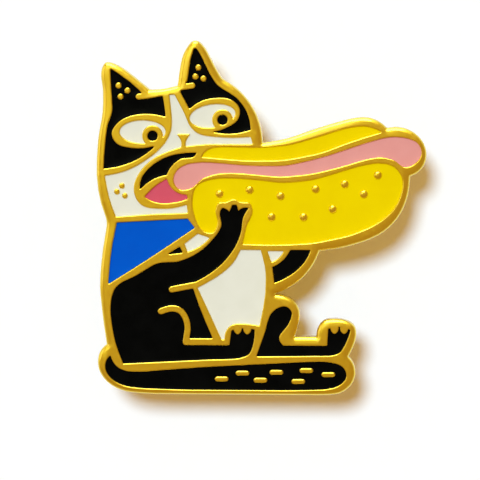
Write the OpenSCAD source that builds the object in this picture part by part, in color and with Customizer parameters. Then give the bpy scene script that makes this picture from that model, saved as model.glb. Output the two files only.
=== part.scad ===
// A soft-enamel pin: a seated cat that bites a hot dog, in gold-plated metal.
// The origin is on the plate's back face. +Z points out of the picture, +Y to its top.
// The pin lies picture up, resting on the wings of its two butterfly clutches.

/* [Pin] */
// Height of the picture, from the tail to the tip of the right ear
pin_height = 38; // [32:1:44]
// Thickness of the metal, from the back face to the tops of the lines
plate_t = 2; // [1.8:0.1:2.6]
// Depth of the pockets between the lines
pocket_depth = 0.8; // [0.5:0.1:0.9]
// How far the enamel stays below the tops of the lines
enamel_drop = 0.3; // [0.1:0.05:0.35]

/* [Posts] */
// Distance of both posts to the left of the origin
post_left = 6; // [4:0.5:7]
// Height of the upper post above the origin
upper_post_y = 6; // [5:0.5:7]
// Height of the lower post, below the origin
lower_post_y = -10; // [-11:0.5:-8]
// Diameter of a post
post_d = 1.15; // [1.1:0.05:1.2]
// Length of a post behind the back face
post_len = 8; // [8:0.5:9]
// Diameter of the flange that is soldered into the back
flange_d = 4; // [3:0.5:5]
// Width of the solder round a flange
solder_w = 0.35; // [0.2:0.05:0.5]

/* [Clutches] */
// Room for cloth between the back face and a clutch
cloth_gap = 2.2; // [2.1:0.1:2.3]
// Diameter of the disc that bears on the cloth
disc_d = 9; // [8:0.5:11]
// Thickness of the disc
disc_t = 0.3; // [0.25:0.05:0.35]
// Thickness of the cage's sheet metal
cage_t = 0.25; // [0.2:0.05:0.25]
// Thickness of a wing's sheet metal
wing_t = 0.3; // [0.25:0.05:0.35]
// Width of a wing where the fingers pinch it
wing_w = 5.2; // [4:0.2:6]

/* [Hidden] */
$fn = 64;

// The picture's points are in millimetres at this height and scale with pin_height
drawn_height = 35.5;
art = pin_height / drawn_height;
// The most that a curve turns from one of its facets to the next
facet_turn = 11;
floor_t = plate_t - pocket_depth;
enamel_t = pocket_depth - enamel_drop;
flange_t = 0.45;
// A solid that cuts another reaches this far past it
past = 1;

gold = [0.86, 0.67, 0.16];
black = [0.03, 0.03, 0.04];
white = [0.92, 0.92, 0.88];
yellow = [0.95, 0.83, 0.02];
blue = [0.02, 0.33, 0.75];
pink = [0.9, 0.58, 0.56];
red = [0.85, 0.29, 0.42];
tin = [0.75, 0.73, 0.68];

// ---- Curves -------------------------------------------------------------------------
// A curve's points are [x, y], or [x, y, 1] at a sharp corner. Between corners it bends
// smoothly, and at each point it runs as the circle through the point and its neighbours.

function unit(v) = v / norm(v);
function flat(q) = [q[0], q[1]];
function at(p, i) = p[(i + len(p)) % len(p)];
function chord(p, i) = flat(at(p, i + 1)) - flat(at(p, i));
function is_corner(p, i) = len(at(p, i)) == 3;
function along(p, i) =
    unit(unit(chord(p, i - 1)) * norm(chord(p, i)) + unit(chord(p, i)) * norm(chord(p, i - 1)));
function mirrored(v, c) = 2 * (v * c) * c - v;
// The direction at point k of the side that runs from point i to point i + 1
function heading(p, i, k) =
    !is_corner(p, k) ? along(p, k)
    : is_corner(p, 2 * i + 1 - k) ? unit(chord(p, i))
    : mirrored(along(p, 2 * i + 1 - k), unit(chord(p, i)));
function angle(a, b) = acos(max(-1, min(1, a * b)));
function side_points(a, b, from, to) =
    let (
        c = unit(b - a),
        turn = angle(from, c) + angle(c, to),
        n = max(1, ceil(turn / facet_turn)),
        reach = norm(b - a) / pow(cos(angle(from, to) / 4), 2)
    )
    [for (j = [0 : n - 1]) let (t = j / n)
        a * (1 - t) * (1 - t) * (1 + 2 * t) + b * t * t * (3 - 2 * t)
        + from * reach * t * (1 - t) * (1 - t) - to * reach * t * t * (1 - t)];
function closed_curve(p) =
    [for (i = [0 : len(p) - 1])
        for (q = side_points(flat(at(p, i)), flat(at(p, i + 1)), heading(p, i, i), heading(p, i, i + 1)))
            q * art];

// The middle of a line through open points, whose two ends are straight
function open_curve(p) =
    let (
        last = len(p) - 1,
        run = [for (i = [0 : last])
            i == 0 ? unit(p[1] - p[0]) : i == last ? unit(p[last] - p[last - 1]) : along(p, i)]
    )
    concat([for (i = [0 : last - 1]) for (q = side_points(p[i], p[i + 1], run[i], run[i + 1])) q],
        [p[last]]);
function left_of(p, i) =
    let (v = unit(p[min(i + 1, len(p) - 1)] - p[max(i - 1, 0)])) [-v[1], v[0]];
function half_turn(centre, from, r) =
    [for (a = [30 : 30 : 150])
        centre + r * [from[0] * cos(a) + from[1] * sin(a), from[1] * cos(a) - from[0] * sin(a)]];
// The outline of a line of width w with round ends
function line_outline(path, w) =
    let (p = open_curve(path), last = len(p) - 1, r = w / 2)
    concat(
        [for (i = [0 : last]) p[i] + r * left_of(p, i)],
        half_turn(p[last], left_of(p, last), r),
        [for (i = [last : -1 : 0]) p[i] - r * left_of(p, i)],
        half_turn(p[0], -left_of(p, 0), r)
    );
function oval(centre, half_w, half_h, tilt) =
    [for (a = [0 : 12 : 348])
        art * (centre + [
            half_w * cos(a) * cos(tilt) - half_h * sin(a) * sin(tilt),
            half_w * cos(a) * sin(tilt) + half_h * sin(a) * cos(tilt)
        ])];

module shape(p) { polygon(closed_curve(p)); }
module raised_line(path, w) { polygon(art * line_outline(path, w)); }
module raised_dots(places, d) {
    for (q = places)
        translate(art * q) circle(d = art * d, $fn = 12);
}

// ---- The picture --------------------------------------------------------------------

outer_edge = [
    [-15.9, 14.9], [-15.5, 15.5], [-14.7, 15.4], [-13.2, 14.5], [-11.1, 12.8, 1], [-9.5, 12.9],
    [-8.3, 13.2, 1],
    [-8.1, 14.8], [-7.5, 16.8], [-6.5, 17.7], [-5.6, 17], [-4.8, 15.5], [-3.9, 13.9, 1],
    [-2.6, 13.1], [-1, 11.4], [-0.1, 9.5], [0.2, 7.5, 1],
    [2.6, 7.9], [6, 9.1], [8.8, 9.9], [11, 10], [12.6, 9, 1],
    [14.3, 9], [15.8, 8.1], [16.5, 6.7], [16.1, 5], [14.9, 4.2, 1],
    [14.7, 2.3], [13.9, 0.3], [12.3, -1.4], [9.6, -2.6], [5.9, -3.3, 1],
    [5.2, -4.8], [3.9, -6.3], [1.4, -7.6, 1],
    [2.4, -7.8], [3.3, -8.3], [3.9, -9.3], [3.8, -10.7], [3.4, -11.9, 1],
    [5.6, -11.9, 1], [5.8, -10.9], [6.3, -10.3], [7.4, -10.1], [8.7, -10.3], [9.4, -10.8], [9.6, -11.7],
    [9.3, -12.9], [8.8, -13.9, 1], [9.5, -15.2], [9.2, -16.6], [8.2, -17.5], [6.4, -17.8],
    [3.4, -17.8], [-7.8, -17.8], [-11.4, -17.8], [-13.4, -17.6], [-15.1, -16.9], [-16.2, -15.6],
    [-16.4, -14.4], [-16.1, -13.4], [-15.5, -12.8, 1],
    [-15.9, -10], [-16.2, -7], [-16, -4], [-15.4, -0.4, 1],
    [-16.2, 2], [-16.5, 5], [-16.3, 8], [-15.8, 10.6], [-15.8, 12.8]
];

left_mask = [
    [-15, 14.9, 1], [-13.6, 14], [-11.6, 12.2, 1], [-9.8, 12.2, 1], [-9.6, 11.2], [-9.5, 10.1, 1],
    [-11.2, 10.4], [-13, 10.2], [-14.4, 9.4], [-14.9, 8.4], [-14.4, 7.4], [-13.2, 7],
    [-10.5, 7.2, 1], [-12.4, 5.8], [-15.7, 4.9, 1], [-15.6, 7], [-15.3, 9.3], [-14.8, 10.6],
    [-14.9, 12.5]
];
right_mask = [
    [-6.5, 16.9], [-6.8, 16.4], [-7.1, 15], [-7.3, 13.7, 1], [-8, 12.6, 1], [-7.1, 10.9, 1], [-5.9, 11.7],
    [-4.4, 12], [-2.9, 11.8], [-2.1, 11], [-2.2, 9.9], [-3.2, 9.1], [-4.8, 8.6, 1],
    [-2.9, 8.4], [-1, 8.8, 1], [-1.3, 10.4], [-2.4, 12], [-4.4, 13.3], [-5.3, 14.8], [-6.2, 16.6]
];
face = [
    [-9.1, 12.3, 1], [-8.6, 12.3, 1], [-7.6, 10.4], [-7.1, 9.2], [-6.4, 8.5], [-4.6, 8.1],
    [-1, 8.1, 1], [-0.8, 7.4, 1], [-3, 7.4], [-5.6, 7.4], [-7.9, 7.1], [-9.2, 6.7],
    [-10.3, 6.2], [-11.3, 5.5], [-12.1, 4.6], [-12.6, 3.6], [-12.7, 2.6], [-12, 1.3],
    [-10.3, 0.9], [-7.4, 1.3, 1], [-7.3, 0.5, 1], [-10.6, 0.4], [-14.5, 0.1, 1], [-15.2, 2],
    [-15.6, 4.2, 1], [-13.4, 4.7], [-11.4, 5.8], [-9.6, 7.4], [-8.9, 8.8], [-8.9, 10.6]
];
mouth = [
    [-6.4, 6.5, 1], [-8.2, 6.4], [-9.8, 5.9], [-11, 5.1], [-11.8, 4.2], [-12.1, 2.8, 1], [-10.9, 3.8],
    [-9.4, 4.3, 1], [-8.9, 5.2], [-8, 5.9], [-6.6, 6.2]
];
tongue = [
    [-9.4, 3.9, 1], [-10.5, 3.2], [-11.6, 2.1, 1], [-10.3, 1.5], [-8.8, 1.5], [-7.3, 1.9, 1],
    [-7.4, 2.3, 1], [-8.5, 2.6], [-9.1, 3.2]
];
top_bun = [
    [-5.9, 6.1, 1], [-5.3, 6.8], [-4, 7.1], [-0.8, 7], [2.5, 7.2], [5.1, 7.9], [7.9, 8.8],
    [10.3, 9.2], [12.1, 8.6, 1], [9.4, 7.8], [6, 6.5], [2.5, 5.8], [-1.1, 5.7]
];
sausage = [
    [-8.7, 3.8], [-8.3, 4.8], [-7.2, 5.4], [-4.5, 5.5], [-1, 5.2], [2.5, 5.2], [6, 6],
    [9.6, 7.2], [12.8, 8.1], [14.5, 8], [15.7, 7.4], [16, 6.4], [15.4, 5.5], [14.4, 5.1],
    [13.3, 5.8], [12, 6.1], [10.2, 5.8], [7.6, 5], [5, 4.4], [2, 4.1], [-1.1, 4.4],
    [-3.8, 4.5], [-5.7, 4], [-7.1, 2.9], [-8.2, 2.9]
];
bottom_bun = [
    [-6.8, 2], [-6.4, 3.2], [-5.2, 3.8], [-3.4, 4], [-1.1, 3.9], [2.3, 3.5], [5.2, 3.8],
    [8.5, 4.8], [11.4, 5.5], [13.2, 5.2], [14.1, 4], [14, 2.4], [13.1, 0.7], [11.3, -0.7],
    [8.6, -1.8], [5.2, -2.5], [1.6, -2.7], [-1.8, -2.6, 1], [-1.4, -0.8], [-0.8, 0.9],
    [-1.1, 1.5], [-2, 1.6], [-2.7, 1.9], [-3.4, 1.6], [-4.2, 1.5], [-4.5, 0.8], [-4.3, -0.6],
    [-4.9, -1.5], [-5.7, -1.3], [-6.6, 0.2]
];
neckerchief = [
    [-14.4, -0.5, 1], [-7.3, -0.1, 1], [-6.6, -1, 1], [-10.9, -3.9, 1], [-15.3, -6.7, 1],
    [-15, -3.4]
];
shoulder = [[-9.4, -3.7, 1], [-8.1, -2.9, 1], [-7.8, -3.5, 1]];
chest = [[-7.6, -2.6, 1], [-6.3, -1.6, 1], [-5.1, -2, 1], [-6, -2.8], [-7.3, -3.4, 1]];
body = [
    [-14.6, -7.1], [-12.4, -5.8], [-10.4, -4.6], [-8.2, -4.4], [-6.2, -3.5], [-4.7, -2.1],
    [-3.9, -0.8], [-4, 0.7], [-3.8, 1, 1], [-3.5, 0.9], [-3.1, 0.6, 1], [-2.8, 1.3, 1], [-2.4, 1.3, 1],
    [-2.2, 0.7, 1], [-1.7, 1], [-1.2, 1, 1], [-1.8, -0.1], [-1.9, -1.2],
    [-2.6, -3], [-4.3, -5], [-6.5, -6.4, 1], [-6.8, -7, 1], [-5.9, -9.6], [-4.8, -12.1, 1],
    [-7.5, -12.1, 1], [-7.5, -12.8, 1], [-3.1, -12.8, 1], [-2.9, -11.3, 1], [-1.8, -11.1],
    [-0.6, -11.2, 1], [-0.7, -12.5], [-1.2, -13.7], [-2.2, -14.1], [-4.4, -14.2],
    [-13.8, -14.7, 1], [-14.6, -12.6], [-15, -10.3], [-15, -8.3]
];
belly = [
    [-2, -3.2, 1], [0, -3.2, 1], [0.5, -5.3], [0.4, -8.3], [-0.1, -10.8, 1], [-1.7, -10.6],
    [-3, -10.8], [-3.6, -12.2, 1], [-3.9, -12.2, 1], [-5, -9.8], [-6.3, -7, 1],
    [-4.2, -5.8], [-2.8, -4.6]
];
far_cuff = [[0.7, -3.3, 1], [2.3, -3.3, 1], [1.8, -4], [1.1, -4.4, 1]];
far_arm = [
    [3, -3.2, 1], [5, -3.2, 1], [4.4, -4.4], [3, -5.7], [1.4, -6.5, 1], [1.2, -4.9, 1],
    [2.3, -4.2]
];
far_leg = [
    [1.8, -9], [2.6, -8.9], [3.1, -9.4], [2.9, -10.4], [1.9, -12.3], [2.3, -12.8, 1],
    [6.7, -12.8, 1], [6.8, -11.1, 1], [7.9, -10.9], [9, -11.2, 1], [8.5, -12.6], [7.9, -13.5],
    [6.9, -13.8], [6, -13.8], [-0.4, -13.9, 1], [0.5, -11.4], [1, -9.7]
];
tail = [
    [-15.1, -13.9, 1], [-14.8, -14.6], [-14.2, -15.2], [-13.3, -15.5], [-10.6, -15.4],
    [-5.6, -15], [1.6, -14.6], [5.4, -14.4], [7.2, -14.5], [8.3, -15], [8.6, -15.9], [8, -16.7],
    [6.4, -17.2], [3.4, -17.3], [-7.8, -17.3], [-11, -17.2], [-13.4, -17], [-14.9, -16.3],
    [-15.6, -15.2], [-15.5, -14.4]
];

left_eye = [-11.8, 8.6];
right_eye = [-4.8, 10.2];
left_pupil = [-10.8, 8.2];
right_pupil = [-3.8, 9.8];
pupil_d = 1;
pupil_ring_d = 2.1;

module cheek_dots() { raised_dots([[-13.9, 3.2], [-14.4, 2.6], [-13.6, 2.2]], 0.6); }
module left_ear_dots() { raised_dots([[-14.2, 13.2], [-13.3, 12.7], [-14, 12.1]], 0.65); }
module right_ear_dots() { raised_dots([[-6.2, 15], [-6.5, 14.1], [-5.7, 13.9]], 0.65); }
module seeds() {
    raised_dots([
        [-4.1, 2.4], [-1.1, 2.8], [2, 2.2], [5.5, 2.9], [8.4, 3.4], [10.3, 2.4], [11.7, 4.3],
        [1.1, 0.1], [4.3, 0.1], [7.2, 0.9]
    ], 0.85);
}
module tail_dashes() {
    upper = [[-1.8, -15.6], [1.6, -15.5], [4.6, -15.3], [6.8, -15.7]];
    lower = [[-3.9, -16.2], [0, -16.3], [3.8, -16.4]];
    for (q = concat(upper, lower))
        raised_line([q - [0.45, 0], q + [0.45, 0]], 0.52);
}
// The metal between the toes of a foot, from above the toes down to height y
module toe_gaps(x, y) {
    for (gap_x = [x - 0.48, x + 0.48])
        shape([
            [gap_x - 0.36, y + 0.8, 1], [gap_x - 0.24, y + 0.14], [gap_x, y], [gap_x + 0.24, y + 0.14],
            [gap_x + 0.36, y + 0.8, 1]
        ]);
}
module nose() {
    shape([[-8.4, 8.4, 1], [-7, 8.4, 1], [-7.7, 7.4, 1]]);
    raised_line([[-7.7, 7.8], [-7.7, 6.9]], 0.45);
}

module left_mask_cell() {
    difference() {
        shape(left_mask);
        left_ear_dots();
        raised_line([[-9.6, 12.5], [-11.2, 12.2], [-12.2, 12.1]], 0.6);
    }
}
module right_mask_cell() {
    difference() {
        shape(right_mask);
        right_ear_dots();
        raised_line([[-8.2, 13], [-6.8, 13.2]], 0.6);
    }
}
module face_cell() {
    difference() {
        shape(face);
        cheek_dots();
        nose();
    }
}
module eye_cell(eye, pupil, tilt) {
    difference() {
        polygon(oval(eye, 2.3, 1.15, tilt));
        translate(art * pupil) circle(d = art * pupil_ring_d);
    }
}
module pupil_cell(pupil) { translate(art * pupil) circle(d = art * pupil_d); }
module bottom_bun_cell() {
    difference() {
        shape(bottom_bun);
        seeds();
    }
}
module body_cell() {
    elbow = [[-6.3, -6.7], [-7.4, -6.9], [-8.9, -7.2]];
    thigh = [[-7.5, -12.5], [-7.3, -11.2], [-7.5, -10.1], [-8.1, -9.3], [-9, -9.1], [-10, -9.4]];
    difference() {
        shape(body);
        raised_line(elbow, 0.65);
        raised_line(thigh, 0.65);
        toe_gaps(-1.8, -11.7);
    }
}
module far_leg_cell() {
    difference() {
        shape(far_leg);
        toe_gaps(7.9, -11.6);
    }
}
module tail_cell() {
    difference() {
        shape(tail);
        tail_dashes();
    }
}

module enamel(tint) {
    color(tint)
        translate([0, 0, floor_t]) linear_extrude(enamel_t) children();
}

// ---- Metal --------------------------------------------------------------------------

module at_post(y) { translate([-post_left, y, 0]) children(); }

module line_work() {
    difference() {
        shape(outer_edge);
        left_mask_cell();
        right_mask_cell();
        face_cell();
        eye_cell(left_eye, left_pupil, 0);
        eye_cell(right_eye, right_pupil, 8);
        pupil_cell(left_pupil);
        pupil_cell(right_pupil);
        shape(mouth);
        shape(tongue);
        shape(top_bun);
        shape(sausage);
        bottom_bun_cell();
        shape(neckerchief);
        shape(shoulder);
        shape(chest);
        body_cell();
        shape(belly);
        shape(far_cuff);
        shape(far_arm);
        far_leg_cell();
        tail_cell();
    }
}

module base_plate() {
    color(gold) {
        difference() {
            linear_extrude(floor_t) shape(outer_edge);
            for (y = [upper_post_y, lower_post_y])
                at_post(y)
                    translate([0, 0, -past])
                        cylinder(d = flange_d + 2 * solder_w, h = flange_t + past);
        }
        translate([0, 0, floor_t]) linear_extrude(plate_t - floor_t) line_work();
    }
}

module left_mask_enamel() { enamel(black) left_mask_cell(); }
module right_mask_enamel() { enamel(black) right_mask_cell(); }
module face_enamel() { enamel(white) face_cell(); }
module left_eye_enamel() { enamel(white) eye_cell(left_eye, left_pupil, 0); }
module right_eye_enamel() { enamel(white) eye_cell(right_eye, right_pupil, 8); }
module left_pupil_enamel() { enamel(black) pupil_cell(left_pupil); }
module right_pupil_enamel() { enamel(black) pupil_cell(right_pupil); }
module mouth_enamel() { enamel(black) shape(mouth); }
module tongue_enamel() { enamel(red) shape(tongue); }
module top_bun_enamel() { enamel(yellow) shape(top_bun); }
module sausage_enamel() { enamel(pink) shape(sausage); }
module bottom_bun_enamel() { enamel(yellow) bottom_bun_cell(); }
module neckerchief_enamel() { enamel(blue) shape(neckerchief); }
module shoulder_enamel() { enamel(black) shape(shoulder); }
module chest_enamel() { enamel(white) shape(chest); }
module body_enamel() { enamel(black) body_cell(); }
module belly_enamel() { enamel(white) shape(belly); }
module far_cuff_enamel() { enamel(white) shape(far_cuff); }
module far_arm_enamel() { enamel(black) shape(far_arm); }
module far_leg_enamel() { enamel(black) far_leg_cell(); }
module tail_enamel() { enamel(black) tail_cell(); }

// ---- Posts --------------------------------------------------------------------------

post_r = post_d / 2;
// A groove near the tip, where a clutch clicks in. The shank past it is the free end.
groove_start = 2.9;
groove_len = 0.8;
groove_depth = 0.17;
tip_len = 0.8;
tip_r = 0.12;

module post() {
    color(gold)
        rotate_extrude() polygon([
            [0, flange_t], [flange_d / 2, flange_t], [flange_d / 2, 0], [post_r, 0],
            [post_r, -groove_start], [post_r - groove_depth, -groove_start - groove_depth],
            [post_r - groove_depth, -groove_start - groove_len + groove_depth],
            [post_r, -groove_start - groove_len], [post_r, -post_len + tip_len],
            [tip_r, -post_len], [0, -post_len]
        ]);
}
module solder() {
    color(tin)
        rotate_extrude() translate([flange_d / 2, 0]) square([solder_w, flange_t]);
}

module upper_post() { at_post(upper_post_y) post(); }
module lower_post() { at_post(lower_post_y) post(); }
module upper_solder() { at_post(upper_post_y) solder(); }
module lower_solder() { at_post(lower_post_y) solder(); }

// ---- Clutches -----------------------------------------------------------------------
// A clutch is drawn with the cloth side at height 0 and its wings rising from there.

collar_bore_r = post_r + 0.125;
collar_r = 0.95;
collar_lip_r = 1.25;
// Clearance of the cage's floor: to the collar, to the disc below and to the lip above
turn_gap = 0.05;
cage_floor = disc_t + 0.04;
collar_top = cage_floor + cage_t + 0.04;
lip_t = 0.15;
wall_y = 1.85;
cage_half_w = 2.6;
cage_top_half_w = 1.3;
cage_top = post_len - cloth_gap + 0.15 + cage_t;
pivot = [2, 2];
trunnion_r = 0.25;
trunnion_hole_r = 0.3;
barrel_r = 0.42;
barrel_half = 1.7;
jaw_r = post_r + 0.03;
jaw_half = 1.2;
wing_path = [[0.3, 1.32], [1, 1.4], [2, 2], [2.45, 2.9], [3, 3.9], [3.9, 5.3], [4.9, 6.2], [5.6, 6.6]];
wide_from = 3.9;

module at_clutch(y) {
    at_post(y)
        rotate([180, 0, 0]) translate([0, 0, cloth_gap]) children();
}

module disc() {
    rim_r = 0.25;
    color(gold)
        rotate_extrude() {
            difference() {
                union() {
                    translate([collar_bore_r, 0]) square([disc_d / 2 - rim_r - collar_bore_r, disc_t]);
                    translate([disc_d / 2 - rim_r, rim_r]) circle(r = rim_r, $fn = 24);
                    // A pressed ring that stiffens the disc
                    translate([disc_d / 2 - 1, disc_t]) circle(r = 0.15, $fn = 24);
                }
                translate([disc_d / 2 - 1, 0]) circle(r = 0.15, $fn = 24);
            }
            translate([collar_bore_r, 0]) square([collar_r - collar_bore_r, collar_top + lip_t]);
            translate([collar_bore_r, collar_top]) square([collar_lip_r - collar_bore_r, lip_t]);
        }
}

module upright(half_y) { rotate([90, 0, 0]) linear_extrude(2 * half_y, center = true) children(); }

module cage() {
    outer_y = wall_y + cage_t;
    color(gold)
        difference() {
            upright(outer_y) polygon([
                [-cage_half_w, cage_floor], [cage_half_w, cage_floor], [cage_half_w, pivot[1] + 0.6],
                [cage_top_half_w, cage_top], [-cage_top_half_w, cage_top],
                [-cage_half_w, pivot[1] + 0.6]
            ]);
            // The inside, open to both sides where the wings come out
            translate([-cage_half_w - past, -wall_y, cage_floor + cage_t])
                cube([2 * (cage_half_w + past), 2 * wall_y, cage_top - cage_floor - 2 * cage_t]);
            translate([0, 0, cage_floor - past]) cylinder(r = collar_r + turn_gap, h = cage_t + 2 * past);
            for (side = [-1, 1])
                translate([side * pivot[0], 0, pivot[1]])
                    rotate([90, 0, 0])
                        cylinder(r = trunnion_hole_r, h = 2 * (outer_y + past), center = true);
        }
}

module wing() {
    color(gold)
        difference() {
            union() {
                intersection() {
                    upright(wing_w / 2) polygon(line_outline(wing_path, wing_t));
                    union() {
                        translate([-past, -jaw_half, 0]) cube([pivot[0] + past, 2 * jaw_half, wide_from]);
                        translate([pivot[0], -barrel_half, 0]) cube([past * 4, 2 * barrel_half, wide_from]);
                        translate([pivot[0], -wing_w / 2, wide_from]) cube([past * 5, wing_w, wide_from]);
                    }
                }
                translate([pivot[0], 0, pivot[1]]) rotate([90, 0, 0])
                    cylinder(r = barrel_r, h = 2 * barrel_half, center = true);
                translate([pivot[0], 0, pivot[1]]) rotate([90, 0, 0])
                    cylinder(r = trunnion_r, h = 2 * (wall_y + cage_t), center = true);
            }
            cylinder(r = jaw_r, h = cage_top);
        }
}

module upper_disc() { at_clutch(upper_post_y) disc(); }
module upper_cage() { at_clutch(upper_post_y) cage(); }
module upper_left_wing() { at_clutch(upper_post_y) mirror([1, 0, 0]) wing(); }
module upper_right_wing() { at_clutch(upper_post_y) wing(); }
module lower_disc() { at_clutch(lower_post_y) disc(); }
module lower_cage() { at_clutch(lower_post_y) cage(); }
module lower_left_wing() { at_clutch(lower_post_y) mirror([1, 0, 0]) wing(); }
module lower_right_wing() { at_clutch(lower_post_y) wing(); }

base_plate();
left_mask_enamel();
right_mask_enamel();
face_enamel();
left_eye_enamel();
right_eye_enamel();
left_pupil_enamel();
right_pupil_enamel();
mouth_enamel();
tongue_enamel();
top_bun_enamel();
sausage_enamel();
bottom_bun_enamel();
neckerchief_enamel();
shoulder_enamel();
chest_enamel();
body_enamel();
belly_enamel();
far_cuff_enamel();
far_arm_enamel();
far_leg_enamel();
tail_enamel();
upper_post();
lower_post();
upper_solder();
lower_solder();
upper_disc();
upper_cage();
upper_left_wing();
upper_right_wing();
lower_disc();
lower_cage();
lower_left_wing();
lower_right_wing();
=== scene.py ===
"""The looks of the enamel pin: plate and enamel built again from the CAD outlines, with rounded edges."""
import math

import bmesh
import bpy
import numpy as np
from mathutils import Matrix, Vector, kdtree
from mathutils.geometry import delaunay_2d_cdt


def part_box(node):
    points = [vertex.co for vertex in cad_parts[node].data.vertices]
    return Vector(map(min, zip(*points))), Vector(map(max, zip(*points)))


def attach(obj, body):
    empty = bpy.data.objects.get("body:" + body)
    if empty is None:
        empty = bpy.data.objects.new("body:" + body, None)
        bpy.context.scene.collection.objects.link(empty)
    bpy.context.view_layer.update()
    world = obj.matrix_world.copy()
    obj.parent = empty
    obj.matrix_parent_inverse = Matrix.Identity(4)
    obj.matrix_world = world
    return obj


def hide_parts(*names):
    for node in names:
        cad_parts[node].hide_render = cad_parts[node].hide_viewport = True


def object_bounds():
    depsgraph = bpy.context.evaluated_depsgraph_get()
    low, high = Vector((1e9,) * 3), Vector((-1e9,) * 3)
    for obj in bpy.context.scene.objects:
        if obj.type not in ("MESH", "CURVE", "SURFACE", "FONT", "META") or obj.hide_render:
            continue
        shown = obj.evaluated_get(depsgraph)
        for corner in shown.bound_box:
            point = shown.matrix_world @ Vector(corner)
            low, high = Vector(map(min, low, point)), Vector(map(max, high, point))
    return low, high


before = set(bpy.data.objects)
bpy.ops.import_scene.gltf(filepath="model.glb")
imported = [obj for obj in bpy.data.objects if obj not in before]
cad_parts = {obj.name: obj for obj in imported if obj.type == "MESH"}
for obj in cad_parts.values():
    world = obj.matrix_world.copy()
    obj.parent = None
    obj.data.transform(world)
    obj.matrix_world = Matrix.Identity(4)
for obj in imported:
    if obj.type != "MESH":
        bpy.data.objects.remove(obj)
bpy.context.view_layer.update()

# ---- Sizes, in millimetres ------------------------------------------------------------

MM = 0.001
BACK = 0.0
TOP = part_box("base_plate")[1].z / MM
POCKET_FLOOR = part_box("body_enamel")[0].z / MM
ENAMEL_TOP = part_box("body_enamel")[1].z / MM
FLANGE_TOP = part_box("upper_post")[1].z / MM

# The rounding of an edge: how far it reaches over the top, and how far down it starts.
# The seeds are the dots on the lower bun.
RIM = (0.6, 0.5)
LINE = (0.11, 0.13)
DOT = (0.17, 0.17)
SEED = (0.34, 0.28)
BACK_EDGE = (0.25, 0.25)

# Enamel climbs the walls a little and sags in the middle of a wide field
CLIMB, CLIMB_WIDTH = 0.04, 0.06
SAG, SAG_WIDTH = 0.05, 1.2

# An outline turns by less than this at a facet of a curve, and by more at a corner
CORNER = math.radians(35)
CORNER_RADIUS = 0.12
SOFT_REACH = 0.9
ARC_STEP = math.radians(7)
STRAIGHT_STEP = 0.3

# Points of an outline closer than NEAR are one, and so are points of a cap closer than MERGE.
# A triangle thinner than NO_WIDTH has no width.
NEAR = 0.006
MERGE = 0.012
NO_WIDTH = 1e-5

# How much nearer than its own edge another edge may be to a point of a ring, as a share and a distance
RING_SHARE, RING_SLACK = 0.985, 0.001

# How far past a rounding the flat begins, a distance that stands for no edge nearby, and how many of
# an outline's points are tried for the nearest side
FLAT_PAST = 0.04
FAR = 9.0
TRIED = 5

# Where an enamel's surface has points: their distances from its walls and from its dots, and a
# triangular grid's gap, its distance from both, and the height of its rows as a share of the gap
WALL_RINGS = [0.02, 0.05, 0.09, 0.15, 0.25, 0.45]
DOT_RINGS = [0.1]
GRID_GAP, GRID_CLEAR = 0.5, 0.3
ROW_HEIGHT = 0.866

# The camera: the plate's height as a share of the frame's, the lens, how far the view comes from the
# plate's top and right, and how far left of and below the plate's middle it aims
PIN_SHARE = 0.74
LENS, SENSOR = 200, 36
TILT_UP, TILT_RIGHT = math.radians(4), math.radians(3)
AIM_LEFT, AIM_DOWN = 2.2, 2.3

# How wide the key light looks from the pin, which softens the shadow
KEY_WIDTH = math.radians(12)

# The field whose dots are seeds
SEEDED = "bottom_bun_enamel"

ENAMELS = {
    "black": ["left_mask", "right_mask", "left_pupil", "right_pupil", "mouth", "shoulder", "body",
              "far_arm", "far_leg", "tail"],
    "white": ["face", "left_eye", "right_eye", "chest", "belly", "far_cuff"],
    "yellow": ["top_bun", "bottom_bun"],
    "pink": ["sausage"],
    "red": ["tongue"],
    "blue": ["neckerchief"],
}

# ---- Outlines -------------------------------------------------------------------------


def flat_outlines(node, height):
    """The outlines of a CAD node's flat face at a height, widest first, the face on their left from above."""
    mesh = bmesh.new()
    mesh.from_mesh(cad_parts[node].data)
    bmesh.ops.remove_doubles(mesh, verts=mesh.verts, dist=1e-7)
    # A dict and not a set, whose order would differ from run to run
    level = dict.fromkeys(f for f in mesh.faces if all(abs(v.co.z / MM - height) < 1e-3 for v in f.verts))
    after = {}
    for face in level:
        for corner in face.loops:
            if not any(f in level for f in corner.edge.link_faces if f is not face):
                after[corner.vert] = corner.link_loop_next.vert
    faces_up = next(iter(level)).normal.z > 0
    outlines = []
    while after:
        vert = next(iter(after))
        chain = []
        while vert in after:
            chain.append((vert.co.x / MM, vert.co.y / MM))
            vert = after.pop(vert)
        outlines.append(np.array(chain if faces_up else chain[::-1]))
    mesh.free()
    return sorted(outlines, key=lambda p: -abs(area(p)))


def area(points):
    x, y = points.T
    return 0.5 * float(np.dot(x, np.roll(y, -1)) - np.dot(y, np.roll(x, -1)))


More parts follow.
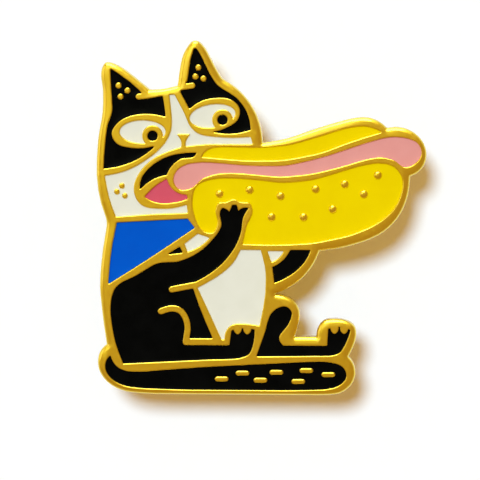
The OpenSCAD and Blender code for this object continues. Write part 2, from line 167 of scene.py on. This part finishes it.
def smooth(outline):
    """The outline with facets blended into curves, corners slightly rounded and straight runs divided."""
    curve = []
    for before, here, after in zip(np.roll(outline, 1, 0), outline, np.roll(outline, -1, 0)):
        a, b = here - before, after - here
        a_length, b_length = np.linalg.norm(a), np.linalg.norm(b)
        a, b = a / a_length, b / b_length
        turn = abs(math.atan2(a[0] * b[1] - a[1] * b[0], float(a @ b)))
        reach = CORNER_RADIUS * math.tan(turn / 2) if turn > CORNER else SOFT_REACH
        reach = min(reach, a_length / 2, b_length / 2)
        steps = max(1, math.ceil(turn / ARC_STEP))
        for t in np.linspace(0, 1, steps + 1):
            q = (1 - t) ** 2 * (here - a * reach) + 2 * t * (1 - t) * here + t * t * (here + b * reach)
            if not curve or np.linalg.norm(q - curve[-1]) > NEAR:
                curve.append(q)
    if np.linalg.norm(curve[0] - curve[-1]) < NEAR:
        curve.pop()
    points = []
    for p, q in zip(curve, curve[1:] + curve[:1]):
        parts = math.ceil(np.linalg.norm(q - p) / STRAIGHT_STEP)
        points += [p + (q - p) * k / parts for k in range(parts)]
    return np.array(points)


def circle(centre, radius, count=72):
    return np.array([(centre[0] + radius * math.cos(a), centre[1] + radius * math.sin(a))
                     for a in np.linspace(0, 2 * math.pi, count, endpoint=False)])


class Edges:
    """Outlines that share one rounding, and the distance from a point to the nearest of them."""

    def __init__(self, outlines):
        self.outlines = outlines
        self.points = np.concatenate(outlines) if outlines else np.zeros((0, 2))
        self.next = np.concatenate([np.roll(o, -1, 0) for o in outlines]) if outlines else self.points
        self.before = np.concatenate([np.roll(np.arange(len(o)), 1) + s for o, s in self.spans()]
                                     ) if outlines else None
        self.tree = kdtree.KDTree(len(self.points))
        for i, p in enumerate(self.points):
            self.tree.insert((p[0], p[1], 0), i)
        self.tree.balance()

    def spans(self):
        start = 0
        for outline in self.outlines:
            yield outline, start
            start += len(outline)

    def distance(self, p):
        best = FAR
        for _, i, _ in self.tree.find_n((p[0], p[1], 0), TRIED):
            for k in (i, self.before[i]):
                best = min(best, self.to_segment(p, self.points[k], self.next[k]))
        return best

    @staticmethod
    def to_segment(p, a, b):
        vx, vy, wx, wy = b[0] - a[0], b[1] - a[1], p[0] - a[0], p[1] - a[1]
        t = min(1.0, max(0.0, (vx * wx + vy * wy) / (vx * vx + vy * vy)))
        return math.hypot(wx - t * vx, wy - t * vy)


def rounding(edge, d):
    """How far the surface lies below the top at a distance from the edge."""
    reach, depth = edge
    return depth * (1 - math.sqrt(max(0.0, 1 - max(0.0, 1 - d / reach) ** 2)))


def ring_distances(edge, steps):
    """Distances from an edge at which its rounding turns by equal angles, and one on the flat past it."""
    reach = edge[0]
    over_edge = [reach * (1 - math.cos(math.pi / 2 * k / steps)) for k in range(1, steps + 1)]
    return over_edge + [reach + FLAT_PAST]


def rings(outlines, distances, clearance):
    """Points at each distance to the left of the outlines, where nothing else is nearer."""
    found = []
    for outline in outlines:
        along = np.roll(outline, -1, 0) - np.roll(outline, 1, 0)
        left = np.stack([-along[:, 1], along[:, 0]], 1) / np.linalg.norm(along, axis=1)[:, None]
        for d in distances:
            found += [q for q in outline + left * d if clearance(q) > d * RING_SHARE - RING_SLACK]
    return found


def thin_out(points, gap):
    """The points without those that lie closer than gap to an earlier one."""
    kept, cells = [], {}
    for p in points:
        cell = (int(p[0] // gap), int(p[1] // gap))
        near = [q for i in (-1, 0, 1) for j in (-1, 0, 1)
                for q in cells.get((cell[0] + i, cell[1] + j), [])]
        if all(math.hypot(p[0] - q[0], p[1] - q[1]) > gap for q in near):
            cells.setdefault(cell, []).append(p)
            kept.append(p)
    return kept


def lattice(outlines, gap, clear, clearance):
    """A triangular grid of points inside the outlines and clear of them."""
    low, high = np.concatenate(outlines).min(0), np.concatenate(outlines).max(0)
    grid = np.array([(x, y) for row, y in enumerate(np.arange(low[1], high[1], gap * ROW_HEIGHT))
                     for x in np.arange(low[0] + gap / 2 * (row % 2), high[0], gap)])
    return [p for p in grid[inside(grid, outlines)] if clearance(p) > clear]


def inside(points, outlines):
    """Which points lie inside the outlines, so that a ray to the side crosses them an odd number of times."""
    a = np.concatenate(outlines)
    b = np.concatenate([np.roll(o, -1, 0) for o in outlines])
    rows = np.argsort(points[:, 1])
    x, y = points[rows].T
    crossings = np.zeros(len(points), int)
    for (ax, ay), (bx, by) in zip(a, b):
        first, last = np.searchsorted(y, (min(ay, by), max(ay, by)))
        if first < last:
            cut = ax + (y[first:last] - ay) * (bx - ax) / (by - ay)
            crossings[rows[first:last]] += x[first:last] < cut
    return crossings % 2 == 1


def filling(verts, faces, outlines):
    """The triangles inside the outlines. One with no width is inside if the one past its longest side is."""
    middles = np.array([np.mean([verts[i] for i in f], 0) for f in faces])
    kept, thin, edges = [], [], set()
    for f, within in zip(faces, inside(middles, outlines)):
        sides = [(f[i - 1], f[i]) for i in range(3)]
        length, longest = max(((verts[b] - verts[a]).length, (a, b)) for a, b in sides)
        if abs((verts[f[1]] - verts[f[0]]).cross(verts[f[2]] - verts[f[0]])) < NO_WIDTH * length:
            thin.append((length, longest, sides, f))
        elif within:
            kept.append(f)
            edges.update(sides)
    for _, (a, b), sides, f in sorted(thin, reverse=True):
        if (b, a) in edges:
            kept.append(f)
            edges.update(sides)
    return kept


# ---- Solids ---------------------------------------------------------------------------


class Solid:
    """A closed mesh, gathered from caps and walls in millimetres."""

    def __init__(self):
        self.points, self.faces, self.finishes = [], [], []

    def add(self, points, faces, finish):
        start = len(self.points)
        self.points += points
        self.faces += [tuple(start + i for i in f) for f in faces]
        self.finishes += [finish] * len(faces)

    def cap(self, outlines, heights, extra=(), height=None, up=True, finish=0):
        """Fills outlines, each at its own height, through extra points with a function for their height."""
        flat = [Vector(p) for o in outlines for p in o] + [Vector(p) for p in extra]
        edge_height = [h for o, h in zip(outlines, heights) for _ in o]
        links, start = [], 0
        for o in outlines:
            links += [(start + i, start + (i + 1) % len(o)) for i in range(len(o))]
            start += len(o)
        verts, _, faces, origins, _, _ = delaunay_2d_cdt(flat, links, [], 0, 1e-6, True)
        faces = filling(verts, faces, outlines)
        points = []
        for v, origin in zip(verts, origins):
            i = min(origin) if origin else None
            xy = v if i is None else flat[i]
            on_edge = i is not None and i < len(edge_height)
            points.append((xy[0], xy[1], edge_height[i] if on_edge else height(xy)))
        self.add(points, faces if up else [f[::-1] for f in faces], finish)

    def wall(self, outline, low, high, finish=0):
        """The wall below an outline, which has the solid on its left."""
        n = len(outline)
        points = [(p[0], p[1], z) for z in (low, high) for p in outline]
        self.add(points, [(i, (i + 1) % n, (i + 1) % n + n, i + n) for i in range(n)], finish)

    def piece(self, name, materials, body, node, sharp=40):
        mesh = bmesh.new()
        verts = [mesh.verts.new(Vector(p) * MM) for p in self.points]
        for f, finish in zip(self.faces, self.finishes):
            mesh.faces.new([verts[i] for i in f]).material_index = finish
        bmesh.ops.remove_doubles(mesh, verts=mesh.verts, dist=2e-8)
        bmesh.ops.dissolve_degenerate(mesh, edges=mesh.edges, dist=1e-9)
        data = bpy.data.meshes.new(name)
        mesh.to_mesh(data)
        mesh.free()
        data.shade_smooth()
        data.set_sharp_from_angle(angle=math.radians(sharp))
        for material in materials:
            data.materials.append(material)
        made = bpy.data.objects.new(name, data)
        bpy.context.scene.collection.objects.link(made)
        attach(made, body)
        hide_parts(node)
        return made


# ---- Materials ------------------------------------------------------------------------


class Finish:
    """A material whose Principled shader's inputs are fed by small helper methods."""

    def __init__(self, name, **settings):
        self.material = bpy.data.materials.new(name)
        self.material.use_nodes = True
        self.nodes, self.links = self.material.node_tree.nodes, self.material.node_tree.links
        self.shader = self.nodes["Principled BSDF"]
        for key, value in settings.items():
            self.shader.inputs[key.replace("_", " ")].default_value = value
        self.coords = self.nodes.new("ShaderNodeTexCoord").outputs["Object"]
        self.height = None

    def stretch(self, scale):
        mapping = self.nodes.new("ShaderNodeMapping")
        mapping.inputs["Scale"].default_value = scale
        self.links.new(self.coords, mapping.inputs["Vector"])
        return mapping.outputs["Vector"]

    def noise(self, size_mm, detail=3.0, stretch=(1, 1, 1)):
        node = self.nodes.new("ShaderNodeTexNoise")
        node.inputs["Scale"].default_value = 1 / (size_mm * MM)
        node.inputs["Detail"].default_value = detail
        self.links.new(self.stretch(stretch), node.inputs["Vector"])
        return node.outputs["Fac"]

    def specks(self, gap_mm, size_mm):
        """1 inside small round spots that lie gap_mm apart on average, and 0 elsewhere."""
        node = self.nodes.new("ShaderNodeTexVoronoi")
        node.inputs["Scale"].default_value = 1 / (gap_mm * MM)
        self.links.new(self.coords, node.inputs["Vector"])
        return self.ramp(node.outputs["Distance"], size_mm / gap_mm * 0.5, size_mm / gap_mm, 1, 0)

    def ramp(self, value, low, high, to_low, to_high):
        node = self.nodes.new("ShaderNodeMapRange")
        node.interpolation_type = "SMOOTHSTEP"
        for key, number in zip(("From Min", "From Max", "To Min", "To Max"), (low, high, to_low, to_high)):
            node.inputs[key].default_value = number
        self.links.new(value, node.inputs["Value"])
        return node.outputs["Result"]

    def mix(self, factor, a, b):
        node = self.nodes.new("ShaderNodeMix")
        node.data_type = "RGBA"
        self.links.new(factor, node.inputs["Factor"])
        for key, colour in (("A", a), ("B", b)):
            node.inputs[key].default_value = (*colour, 1)
        return node.outputs["Result"]

    def feed(self, key, value):
        self.links.new(value, self.shader.inputs[key])

    def bump(self, value, depth_mm):
        """Adds to the surface's relief, depth_mm from value 0 to value 1."""
        node = self.nodes.new("ShaderNodeBump")
        node.inputs["Strength"].default_value = 1
        node.inputs["Distance"].default_value = depth_mm * MM
        self.links.new(value, node.inputs["Height"])
        if self.height is not None:
            self.links.new(self.height, node.inputs["Normal"])
        self.height = node.outputs["Normal"]
        self.feed("Normal", self.height)


def linear(r, g, b):
    """A colour of 0 to 255 as the shader takes it."""
    return tuple(((c / 255 + 0.055) / 1.055) ** 2.4 if c > 10 else c / 3294.6 for c in (r, g, b))


def gold_plate():
    """Satin plating on a die casting, with a fine grain and cloudy gloss under a thin clear lacquer."""
    m = Finish("gold_plate", Metallic=1.0, Coat_Weight=0.7, Coat_Roughness=0.1)
    m.feed("Base Color", m.mix(m.noise(3.5), linear(228, 202, 49), linear(235, 210, 59)))
    m.feed("Roughness", m.ramp(m.noise(0.5, 4), 0.3, 0.7, 0.28, 0.36))
    m.bump(m.noise(0.09, 2), 0.0012)
    return m.material


def gold_back():
    """The back of the casting, blasted to a matte grain."""
    m = Finish("gold_back", Metallic=1.0)
    m.feed("Base Color", m.mix(m.noise(2.5), linear(229, 196, 60), linear(237, 205, 78)))
    m.feed("Roughness", m.ramp(m.noise(0.4, 4), 0.3, 0.7, 0.4, 0.52))
    m.bump(m.noise(0.12, 3), 0.012)
    return m.material


def clutch_brass():
    """Bright gold plating on rolled sheet, with faint rolling lines."""
    m = Finish("clutch_brass", Metallic=1.0)
    m.feed("Base Color", m.mix(m.noise(2.0), linear(243, 212, 120), linear(249, 220, 138)))
    m.feed("Roughness", m.ramp(m.noise(0.2, 3, (0.05, 1, 1)), 0.3, 0.7, 0.18, 0.25))
    m.bump(m.noise(0.1, 2, (0.05, 1, 1)), 0.0004)
    return m.material


def post_gold():
    """Gold plating over drawn wire, with fine lines round the post."""
    m = Finish("post_gold", Metallic=1.0)
    m.feed("Base Color", m.mix(m.noise(1.5), linear(240, 206, 100), linear(247, 214, 120)))
    m.feed("Roughness", m.ramp(m.noise(0.2, 3), 0.3, 0.7, 0.2, 0.32))
    m.bump(m.noise(0.06, 2, (0.1, 0.1, 1)), 0.0015)
    return m.material


def solder_tin():
    """Dull, slightly lumpy solder."""
    m = Finish("solder_tin", Metallic=1.0)
    m.feed("Base Color", m.mix(m.noise(0.8), linear(188, 184, 176), linear(214, 210, 202)))
    m.feed("Roughness", m.ramp(m.noise(0.3, 4), 0.3, 0.7, 0.35, 0.55))
    m.bump(m.noise(0.25, 3), 0.02)
    return m.material


def enamel(name, colour, cloud):
    """Baked paint: cloudy pigment, a faint orange peel, and pinholes here and there."""
    m = Finish(name + "_enamel", Specular_IOR_Level=0.04)
    pigment = m.mix(m.ramp(m.noise(2.2, 4), 0.3, 0.7, 0, 1), linear(*colour), linear(*cloud))
    m.feed("Base Color", pigment)
    m.feed("Roughness", m.ramp(m.noise(0.7, 4), 0.3, 0.7, 0.14, 0.24))
    m.bump(m.noise(0.9, 2), 0.003)
    m.bump(m.specks(1.3, 0.06), -0.008)
    return m.material


# ---- The plate and the enamel ---------------------------------------------------------


def plate_outlines():
    """The plate's outer edge, and each field's colour and outlines: its own, then its metal dots'."""
    rim = smooth(flat_outlines("base_plate", BACK)[0])
    fields = {}
    for colour, names in ENAMELS.items():
        for name in names:
            node = name + "_enamel"
            fields[node] = colour, [smooth(o) for o in flat_outlines(node, ENAMEL_TOP)]
    return rim, fields


def build_plate(rim, fields, front, back):
    solid = Solid()
    walls = [outlines[0][::-1] for _, outlines in fields.values()]
    seeds = [o[::-1] for o in fields[SEEDED][1][1:]]
    dots = [o[::-1] for node, (_, outlines) in fields.items() if node != SEEDED for o in outlines[1:]]
    outer = Edges([rim])
    shapes = [(outer, RIM, 7), (Edges(walls), LINE, 4), (Edges(dots), DOT, 5), (Edges(seeds), SEED, 6)]

    def clearance(p):
        return min(edges.distance(p) for edges, _, _ in shapes)

    def height(p):
        return TOP - max(rounding(edge, edges.distance(p)) for edges, edge, _ in shapes)

    extra = [q for edges, edge, steps in shapes
             for q in rings(edges.outlines, ring_distances(edge, steps), clearance)]
    heights = [TOP - edge[1] for edges, edge, _ in shapes for _ in edges.outlines]
    edges_up = [rim, *walls, *dots, *seeds]
    solid.cap(edges_up, heights, thin_out(extra, MERGE), height)
    for o, h in zip(edges_up, heights):
        solid.wall(o, BACK + BACK_EDGE[1] if o is rim else POCKET_FLOOR, h)
    for _, outlines in fields.values():
        solid.cap(outlines, [POCKET_FLOOR] * len(outlines))

    recesses = []
    for which in ("upper", "lower"):
        low, high = (Vector(c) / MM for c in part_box(which + "_solder"))
        recesses.append(circle((low + high) / 2, (high.x - low.x) / 2)[::-1])
    under = rings([rim], ring_distances(BACK_EDGE, 5), outer.distance)
    solid.cap([rim, *recesses], [BACK + BACK_EDGE[1], BACK, BACK], thin_out(under, MERGE),
              lambda p: BACK + rounding(BACK_EDGE, outer.distance(p)), up=False, finish=1)
    for recess in recesses:
        solid.wall(recess, BACK, FLANGE_TOP, finish=1)
        solid.cap([recess[::-1]], [FLANGE_TOP], up=False, finish=1)
    made = solid.piece("plate", [front, back], "pin", "base_plate")


def build_enamel(node, outlines, material):
    solid = Solid()
    edge, dots = Edges(outlines[:1]), Edges(outlines[1:])

    def height(p):
        d = edge.distance(p)
        return ENAMEL_TOP + CLIMB * math.exp(-d / CLIMB_WIDTH) - SAG * (1 - math.exp(-d / SAG_WIDTH))

    def clearance(p):
        return min(edge.distance(p), dots.distance(p)) if dots.outlines else edge.distance(p)

    extra = rings(outlines[:1], WALL_RINGS, clearance)
    extra += rings(outlines[1:], DOT_RINGS, clearance)
    extra += lattice(outlines, GRID_GAP, GRID_CLEAR, clearance)
    top = [ENAMEL_TOP + CLIMB] + [height(o[0]) for o in outlines[1:]]
    solid.cap(outlines, top, thin_out(extra, MERGE), height)
    for o, h in zip(outlines, top):
        solid.wall(o, POCKET_FLOOR, h)
    solid.cap(outlines, [POCKET_FLOOR] * len(outlines), up=False)
    made = solid.piece(node.replace("_enamel", "_paint"), [material], "pin", node)


def paint_colours():
    """Each enamel's material: its colour and the slightly different one that clouds it."""
    tones = {
        "black": ((1, 3, 4), (4, 6, 7)),
        "white": ((225, 224, 207), (222, 221, 203)),
        "yellow": ((233, 206, 0), (230, 202, 0)),
        "pink": ((223, 152, 144), (220, 148, 140)),
        "red": ((208, 87, 104), (204, 81, 99)),
        "blue": ((0, 86, 197), (0, 82, 192)),
    }
    return {name: enamel(name, *pair) for name, pair in tones.items()}


# ---- The back's hardware --------------------------------------------------------------


def finish_hardware():
    """Rounds the CAD hardware's edges with modifiers and gives it its metals."""
    brass, wire, tin = clutch_brass(), post_gold(), solder_tin()
    looks = {"post": (wire, 0.05), "solder": (tin, 0.08), "disc": (brass, 0.05), "cage": (brass, 0.05),
             "left_wing": (brass, 0.05), "right_wing": (brass, 0.05)}
    for which in ("upper", "lower"):
        for name, (material, round_mm) in looks.items():
            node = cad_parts[f"{which}_{name}"]
            for material_slot in node.material_slots:
                material_slot.material = material
            weld = node.modifiers.new("weld", "WELD")
            weld.merge_threshold = 1e-7
            bevel = node.modifiers.new("bevel", "BEVEL")
            bevel.width, bevel.segments = round_mm * MM, 3
            bevel.limit_method, bevel.angle_limit = "ANGLE", math.radians(35)
            normals = node.modifiers.new("normals", "WEIGHTED_NORMAL")
            normals.keep_sharp = False


# ---- Stage ----------------------------------------------------------------------------


def aim(thing, at):
    """Turns a lamp or the camera towards a point, with the picture's top up."""
    back = (thing.location - Vector(at)).normalized()
    right = Vector((0, 1, 0)).cross(back).normalized()
    thing.rotation_mode = "QUATERNION"
    thing.rotation_quaternion = Matrix((right, back.cross(right), back)).transposed().to_quaternion()


def softbox(name, place, size, radiance, tint=(1, 1, 1)):
    """A square lamp that only the gloss sees, as bright as radiance says."""
    data = bpy.data.lights.new(name, "AREA")
    data.shape, data.size = "SQUARE", size
    data.energy = radiance * math.pi * size * size
    data.color = tint
    light = bpy.data.objects.new(name, data)
    light.location = place
    aim(light, (0, 0, 0))
    light.visible_diffuse = False
    bpy.context.scene.collection.objects.link(light)


def key_light(place, strength, tint):
    """A distant soft light that gives the shadow."""
    data = bpy.data.lights.new("key", "SUN")
    data.energy, data.color, data.angle = strength, tint, KEY_WIDTH
    light = bpy.data.objects.new("key", data)
    light.location = place
    aim(light, (0, 0, 0))
    light.visible_glossy = False
    bpy.context.scene.collection.objects.link(light)


def build_room(tint, strength):
    """Even light from all round, and a white backdrop where the camera looks past the floor."""
    world = bpy.data.worlds.new("studio")
    world.use_nodes = True
    nodes, links = world.node_tree.nodes, world.node_tree.links
    room, backdrop = nodes["Background"], nodes.new("ShaderNodeBackground")
    room.inputs["Color"].default_value, room.inputs["Strength"].default_value = (*tint, 1), strength
    backdrop.inputs["Color"].default_value = (1, 1, 1, 1)
    mix = nodes.new("ShaderNodeMixShader")
    links.new(nodes.new("ShaderNodeLightPath").outputs["Is Camera Ray"], mix.inputs["Fac"])
    links.new(room.outputs["Background"], mix.inputs[1])
    links.new(backdrop.outputs["Background"], mix.inputs[2])
    links.new(mix.outputs["Shader"], nodes["World Output"].inputs["Surface"])
    bpy.context.scene.world = world


def build_stage():
    low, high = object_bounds()
    bpy.ops.mesh.primitive_plane_add(size=6, location=(0, 0, low.z))
    floor = bpy.context.object
    floor.name = "floor"
    paper = Finish("paper", Roughness=0.8, Specular_IOR_Level=0.2)
    paper.feed("Base Color", paper.mix(paper.noise(1.5), linear(252, 252, 251), linear(249, 249, 248)))
    floor.data.materials.append(paper.material)

    bpy.context.scene.view_settings.view_transform = "Standard"
    # The room's light is warm and the key is cool, so open paper is white and shadows are warm
    build_room((1, 0.61, 0.21), 0.53)
    key_light((-0.045, 0.115, 0.4), 3.12, (0.569, 0.784, 1))
    softbox("overhead", (-0.15, 0.15, 0.45), 0.26, 1.6, (0.9, 1, 0.7))
    softbox("top_box", (-0.05, 0.4, 0.17), 0.38, 6.8)
    softbox("side_box", (-0.45, 0.1, 0.2), 0.3, 1.2)


def build_camera():
    """Nearly straight above, from slightly above and to the right of the picture's middle."""
    low, high = (Vector(c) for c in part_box("base_plate"))
    frame_width = (high.y - low.y) / PIN_SHARE
    middle = Vector(((low.x + high.x) / 2 - AIM_LEFT * MM, (low.y + high.y) / 2 - AIM_DOWN * MM, high.z))
    data = bpy.data.cameras.new("camera")
    data.lens, data.sensor_width = LENS, SENSOR
    distance = frame_width * data.lens / data.sensor_width
    camera = bpy.data.objects.new("camera", data)
    camera.location = middle + distance * Vector((math.sin(TILT_RIGHT), math.sin(TILT_UP), 1)).normalized()
    aim(camera, middle)
    data.clip_start, data.clip_end = 0.005, 5
    bpy.context.scene.collection.objects.link(camera)
    bpy.context.scene.camera = camera


# ---- The scene ------------------------------------------------------------------------

rim, fields = plate_outlines()
build_plate(rim, fields, gold_plate(), gold_back())
paints = paint_colours()
for node, (colour, outlines) in fields.items():
    build_enamel(node, outlines, paints[colour])
finish_hardware()
build_stage()
build_camera()
